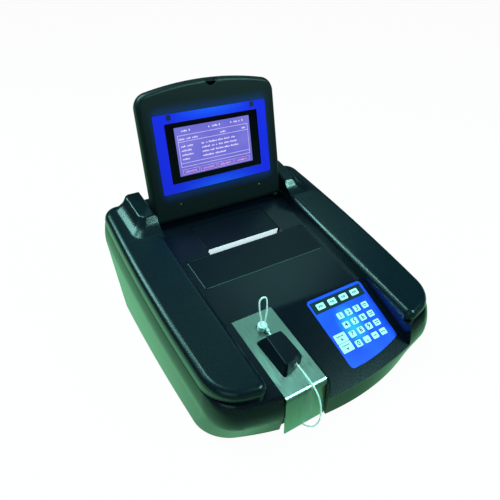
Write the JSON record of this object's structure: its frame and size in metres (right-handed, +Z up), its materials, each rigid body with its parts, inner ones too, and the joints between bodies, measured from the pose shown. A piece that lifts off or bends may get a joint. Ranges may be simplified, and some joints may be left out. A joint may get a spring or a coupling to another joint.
{
  "type": "chemistry analyzer",
  "caption": "Bench chemistry analyzer with flip-up display, membrane keypad, strip printer and a sipper tube over a steel trigger plate.",
  "frame": {"origin": "on the table under the middle of the case, as measured without the sampling tubes", "axes": "+X right, +Y to the back, +Z up, as seen by the user"},
  "size_m": [0.3336, 0.346, 0.3097],
  "materials": {
    "case_black": "satin",
    "pan_steel": "satin",
    "plate_steel": "brushed",
    "zinc_steel": "satin",
    "foot_rubber": "matte",
    "pin_steel": "polished",
    "screw_steel": "satin",
    "keypad_film": "satin",
    "key_pale": "satin",
    "bezel_film": "satin",
    "screen_glass": "glossy",
    "white_resin": "satin",
    "paper": "matte",
    "tube_clear": "glossy",
    "bench_aluminium": "anodised",
    "lamp_housing": "anodised",
    "motor_can": "satin",
    "pump_resin": "satin",
    "board_green": "satin",
    "socket_black": "satin",
    "roller_rubber": "matte",
    "frame_resin": "matte"
  },
  "bodies": {
    "case": {"base_pan": "pan_steel", "top_cover": "case_black", "rear_panel": "zinc_steel", "rubber_feet": "foot_rubber", "case_screws": "screw_steel", "sample_plate": "plate_steel", "trigger_switch": "socket_black", "keypad_panel": "keypad_film", "printer_frame": "frame_resin", "print_head": "bench_aluminium", "printer_panel": "case_black", "flow_cell": "white_resin", "optics_block": "bench_aluminium", "lamp_module": "lamp_housing", "filter_motor": "motor_can", "pump_housing": "pump_resin", "main_board": "board_green", "power_supply": "zinc_steel", "power_inlet": "socket_black", "serial_port": "zinc_steel", "hinge_pins": "pin_steel", "paper_strip": "paper", "sipper_tube": "tube_clear", "loop_tube": "tube_clear"},
    "display_lid": {"lid_front": "case_black", "lid_back": "case_black", "bezel_panel": "bezel_film", "lcd_module": "screen_glass", "lid_bumpers": "foot_rubber", "lid_screws": "screw_steel"},
    "bay_door": {"printer_door": "case_black"},
    "trigger": {"trigger_plate": "plate_steel"},
    "shield": {"light_shield": "case_black"},
    "rocker": {"rocker_switch": "socket_black"},
    "wheel": {"filter_wheel": "lamp_housing"},
    "rotor": {"pump_rotor": "pump_resin"},
    "roll": {"paper_roll": "paper"},
    "platen": {"platen_roller": "roller_rubber"},
    "key_0_cap": {"key_0": "key_pale"},
    "key_1_cap": {"key_1": "key_pale"},
    "key_2_cap": {"key_2": "key_pale"},
    "key_3_cap": {"key_3": "key_pale"},
    "key_4_cap": {"key_4": "key_pale"},
    "key_5_cap": {"key_5": "key_pale"},
    "key_6_cap": {"key_6": "key_pale"},
    "key_7_cap": {"key_7": "key_pale"},
    "key_8_cap": {"key_8": "key_pale"},
    "key_9_cap": {"key_9": "key_pale"},
    "key_point_cap": {"key_point": "key_pale"},
    "key_minus_cap": {"key_minus": "key_pale"},
    "key_enter_cap": {"key_enter": "key_pale"},
    "key_print_cap": {"key_print": "key_pale"},
    "key_wash_cap": {"key_wash": "key_pale"},
    "key_menu_cap": {"key_menu": "key_pale"},
    "key_soft_1_cap": {"key_soft_1": "key_pale"},
    "key_soft_2_cap": {"key_soft_2": "key_pale"},
    "key_soft_3_cap": {"key_soft_3": "key_pale"},
    "key_soft_4_cap": {"key_soft_4": "key_pale"},
    "key_scroll_up_cap": {"key_scroll_up": "key_pale"},
    "key_scroll_down_cap": {"key_scroll_down": "key_pale"}
  },
  "joints": [
    {"name": "lid_hinge", "type": "hinge", "parent": "case", "child": "display_lid", "pos_m": [0, 0.12359, 0.14168], "axis": [1, 0, 0], "range_deg": [-10, 114.6]},
    {"name": "printer_door_hinge", "type": "hinge", "parent": "case", "child": "bay_door", "pos_m": [0, 0.00192, 0.09784], "axis": [-1, 0, 0], "range_deg": [-95, 0]},
    {"name": "trigger_hinge", "type": "hinge", "parent": "case", "child": "trigger", "pos_m": [-0.0634, -0.1596, 0.046], "axis": [1, 0, 0], "range_deg": [0, 3.5], "stiffness_Nm_per_rad": 1.2, "springref_deg": -5.16},
    {"name": "shield_lift", "type": "slide", "parent": "case", "child": "shield", "axis": [0, -0.245, 0.9695], "range_m": [0, 0.02]},
    {"name": "power_rocker", "type": "hinge", "parent": "case", "child": "rocker", "pos_m": [0.025, 0.166, 0.046], "axis": [1, 0, 0], "range_deg": [0, 16]},
    {"name": "filter_wheel_spin", "type": "hinge", "parent": "case", "child": "wheel", "pos_m": [-0.0834, -0.09381, 0.04116], "axis": [0, 0.9695, 0.245], "continuous": true},
    {"name": "pump_spin", "type": "hinge", "parent": "case", "child": "rotor", "pos_m": [-0.113, -0.015, 0.03], "axis": [1, 0, 0], "continuous": true},
    {"name": "roll_spin", "type": "hinge", "parent": "case", "child": "roll", "pos_m": [0, 0.02844, 0.07205], "axis": [1, 0, 0], "continuous": true},
    {"name": "platen_spin", "type": "hinge", "parent": "case", "child": "platen", "pos_m": [0, 0.05392, 0.0986], "axis": [1, 0, 0], "continuous": true},
    {"name": "key_0_press", "type": "slide", "parent": "case", "child": "key_0_cap", "axis": [0, 0.4524, -0.8918], "range_m": [0, 0.0004], "stiffness_N_per_m": 1500, "springref_m": -0.0003},
    {"name": "key_1_press", "type": "slide", "parent": "case", "child": "key_1_cap", "axis": [0, 0.4524, -0.8918], "range_m": [0, 0.0004], "stiffness_N_per_m": 1500, "springref_m": -0.0003},
    {"name": "key_2_press", "type": "slide", "parent": "case", "child": "key_2_cap", "axis": [0, 0.4524, -0.8918], "range_m": [0, 0.0004], "stiffness_N_per_m": 1500, "springref_m": -0.0003},
    {"name": "key_3_press", "type": "slide", "parent": "case", "child": "key_3_cap", "axis": [0, 0.4524, -0.8918], "range_m": [0, 0.0004], "stiffness_N_per_m": 1500, "springref_m": -0.0003},
    {"name": "key_4_press", "type": "slide", "parent": "case", "child": "key_4_cap", "axis": [0, 0.4524, -0.8918], "range_m": [0, 0.0004], "stiffness_N_per_m": 1500, "springref_m": -0.0003},
    {"name": "key_5_press", "type": "slide", "parent": "case", "child": "key_5_cap", "axis": [0, 0.4524, -0.8918], "range_m": [0, 0.0004], "stiffness_N_per_m": 1500, "springref_m": -0.0003},
    {"name": "key_6_press", "type": "slide", "parent": "case", "child": "key_6_cap", "axis": [0, 0.4524, -0.8918], "range_m": [0, 0.0004], "stiffness_N_per_m": 1500, "springref_m": -0.0003},
    {"name": "key_7_press", "type": "slide", "parent": "case", "child": "key_7_cap", "axis": [0, 0.4524, -0.8918], "range_m": [0, 0.0004], "stiffness_N_per_m": 1500, "springref_m": -0.0003},
    {"name": "key_8_press", "type": "slide", "parent": "case", "child": "key_8_cap", "axis": [0, 0.4524, -0.8918], "range_m": [0, 0.0004], "stiffness_N_per_m": 1500, "springref_m": -0.0003},
    {"name": "key_9_press", "type": "slide", "parent": "case", "child": "key_9_cap", "axis": [0, 0.4524, -0.8918], "range_m": [0, 0.0004], "stiffness_N_per_m": 1500, "springref_m": -0.0003},
    {"name": "key_point_press", "type": "slide", "parent": "case", "child": "key_point_cap", "axis": [0, 0.4524, -0.8918], "range_m": [0, 0.0004], "stiffness_N_per_m": 1500, "springref_m": -0.0003},
    {"name": "key_minus_press", "type": "slide", "parent": "case", "child": "key_minus_cap", "axis": [0, 0.4524, -0.8918], "range_m": [0, 0.0004], "stiffness_N_per_m": 1500, "springref_m": -0.0003},
    {"name": "key_enter_press", "type": "slide", "parent": "case", "child": "key_enter_cap", "axis": [0, 0.4524, -0.8918], "range_m": [0, 0.0004], "stiffness_N_per_m": 1500, "springref_m": -0.0003},
    {"name": "key_print_press", "type": "slide", "parent": "case", "child": "key_print_cap", "axis": [0, 0.4524, -0.8918], "range_m": [0, 0.0004], "stiffness_N_per_m": 1500, "springref_m": -0.0003},
    {"name": "key_wash_press", "type": "slide", "parent": "case", "child": "key_wash_cap", "axis": [0, 0.4524, -0.8918], "range_m": [0, 0.0004], "stiffness_N_per_m": 1500, "springref_m": -0.0003},
    {"name": "key_menu_press", "type": "slide", "parent": "case", "child": "key_menu_cap", "axis": [0, 0.4524, -0.8918], "range_m": [0, 0.0004], "stiffness_N_per_m": 1500, "springref_m": -0.0003},
    {"name": "key_soft_1_press", "type": "slide", "parent": "case", "child": "key_soft_1_cap", "axis": [0, 0.4524, -0.8918], "range_m": [0, 0.0004], "stiffness_N_per_m": 1500, "springref_m": -0.0003},
    {"name": "key_soft_2_press", "type": "slide", "parent": "case", "child": "key_soft_2_cap", "axis": [0, 0.4524, -0.8918], "range_m": [0, 0.0004], "stiffness_N_per_m": 1500, "springref_m": -0.0003},
    {"name": "key_soft_3_press", "type": "slide", "parent": "case", "child": "key_soft_3_cap", "axis": [0, 0.4524, -0.8918], "range_m": [0, 0.0004], "stiffness_N_per_m": 1500, "springref_m": -0.0003},
    {"name": "key_soft_4_press", "type": "slide", "parent": "case", "child": "key_soft_4_cap", "axis": [0, 0.4524, -0.8918], "range_m": [0, 0.0004], "stiffness_N_per_m": 1500, "springref_m": -0.0003},
    {"name": "key_scroll_up_press", "type": "slide", "parent": "case", "child": "key_scroll_up_cap", "axis": [0, 0.4524, -0.8918], "range_m": [0, 0.0004], "stiffness_N_per_m": 1500, "springref_m": -0.0003},
    {"name": "key_scroll_down_press", "type": "slide", "parent": "case", "child": "key_scroll_down_cap", "axis": [0, 0.4524, -0.8918], "range_m": [0, 0.0004], "stiffness_N_per_m": 1500, "springref_m": -0.0003}
  ],
  "couplings": [
    {"joint": "platen_spin", "follows": "roll_spin", "ratio": 4.1667}
  ]
}
